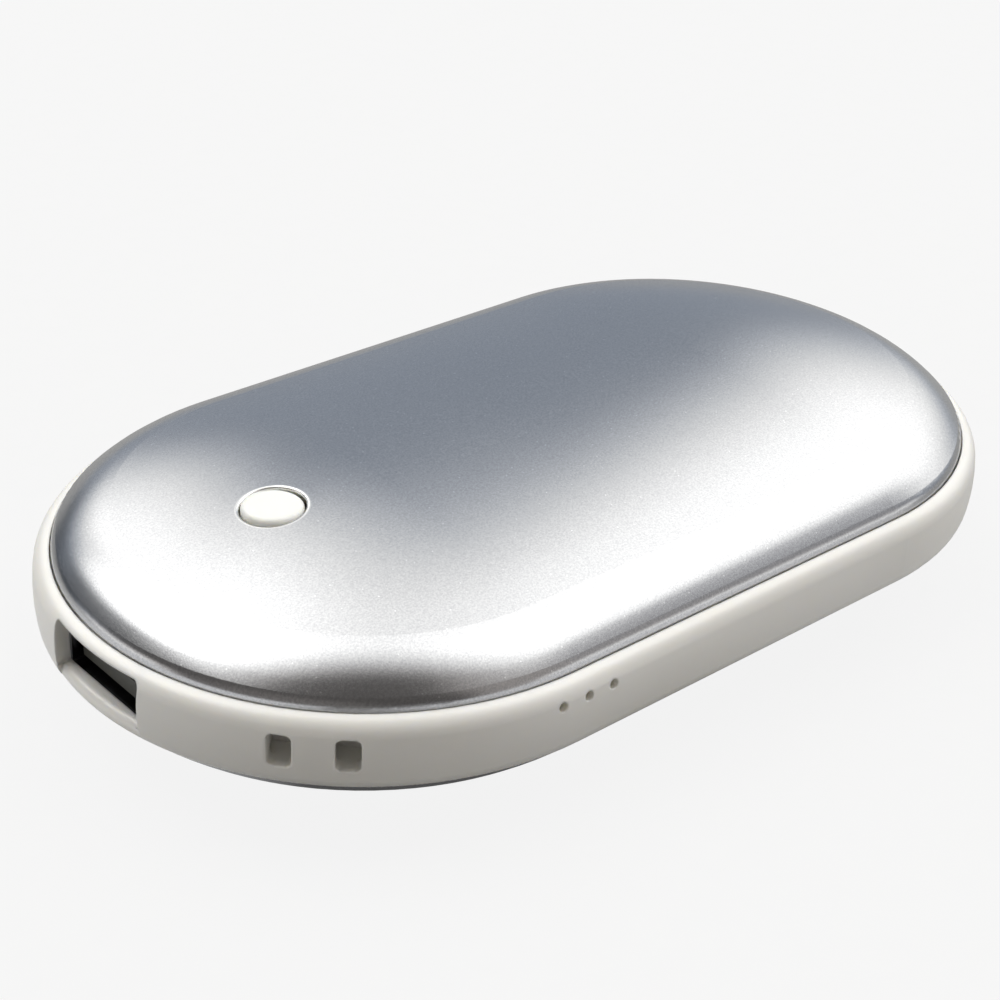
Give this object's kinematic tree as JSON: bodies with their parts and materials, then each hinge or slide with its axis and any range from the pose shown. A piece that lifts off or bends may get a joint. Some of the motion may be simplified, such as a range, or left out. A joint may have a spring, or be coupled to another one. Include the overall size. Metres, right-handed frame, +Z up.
{
  "type": "rechargeable hand warmer",
  "caption": "Pocket-size stadium-shaped rechargeable hand warmer with two domed metal shells, a push button, a charging output, indicators and a lanyard post.",
  "frame": {"origin": "middle of the flat land under the lower metal shell, on the surface that the object lies on", "axes": "+X along the length away from the charging output, +Y towards the side of the charging inlet, -Y towards the indicators, +Z up out of the upper shell"},
  "size_m": [0.1095, 0.065, 0.0224],
  "materials": {
    "frame_plastic": "warm white satin moulding",
    "shell_aluminium": "bead-blasted, clear anodised",
    "liner_plastic": "plain moulding",
    "button_plastic": "satin white moulding",
    "black_plastic": "moulded",
    "plated_steel": "nickel plated sheet",
    "board_laminate": "green solder mask",
    "tongue_plastic": "dark grey moulding",
    "gold_contact": "gold plated strip",
    "guide_plastic": "translucent moulding",
    "lamp_resin": "cast resin",
    "coil_ferrite": "ferrite core with copper winding",
    "capacitor_ceramic": "sintered ceramic",
    "cell_pouch": "aluminium laminate pouch",
    "nickel_strip": "bare strip",
    "red_wire": "silicone jacket",
    "black_wire": "silicone jacket",
    "white_wire": "silicone jacket",
    "foam": "closed cell foam",
    "heater_film": "polyimide film with etched track",
    "bead_epoxy": "epoxy drop",
    "screw_steel": "zinc plated"
  },
  "bodies": {
    "housing": {"mid_frame": "frame_plastic", "top_shell": "shell_aluminium", "bottom_shell": "shell_aluminium", "top_liner": "liner_plastic", "bottom_liner": "liner_plastic", "switch_base": "black_plastic", "switch_cover": "plated_steel", "switch_legs": "plated_steel", "main_board": "board_laminate", "usb_a_shell": "plated_steel", "usb_a_tongue": "tongue_plastic", "usb_a_contacts": "gold_contact", "micro_usb_shell": "plated_steel", "micro_usb_tongue": "black_plastic", "light_guide": "guide_plastic", "indicator_leds": "lamp_resin", "controller_chip": "black_plastic", "controller_pins": "plated_steel", "power_inductor": "coil_ferrite", "capacitors": "capacitor_ceramic", "battery_cell": "cell_pouch", "protection_board": "board_laminate", "cell_tabs": "nickel_strip", "battery_lead_red": "red_wire", "battery_lead_black": "black_wire", "battery_tray": "liner_plastic", "tray_pad": "foam", "cell_pad": "foam", "top_heater": "heater_film", "bottom_heater": "heater_film", "top_heater_leads": "white_wire", "bottom_heater_leads": "white_wire", "thermistor": "bead_epoxy", "fixing_screws": "screw_steel"},
    "button": {"button_cap": "button_plastic"},
    "plunger": {"switch_plunger": "black_plastic"}
  },
  "joints": [
    {"name": "button_press", "type": "slide", "parent": "housing", "child": "button", "axis": [0, 0, -1], "range_m": [0, 0.00025], "stiffness_N_per_m": 800},
    {"name": "plunger_press", "type": "slide", "parent": "housing", "child": "plunger", "axis": [0, 0, -1], "range_m": [0, 0.00025]}
  ],
  "couplings": [
    {"joint": "plunger_press", "follows": "button_press", "ratio": 1}
  ]
}
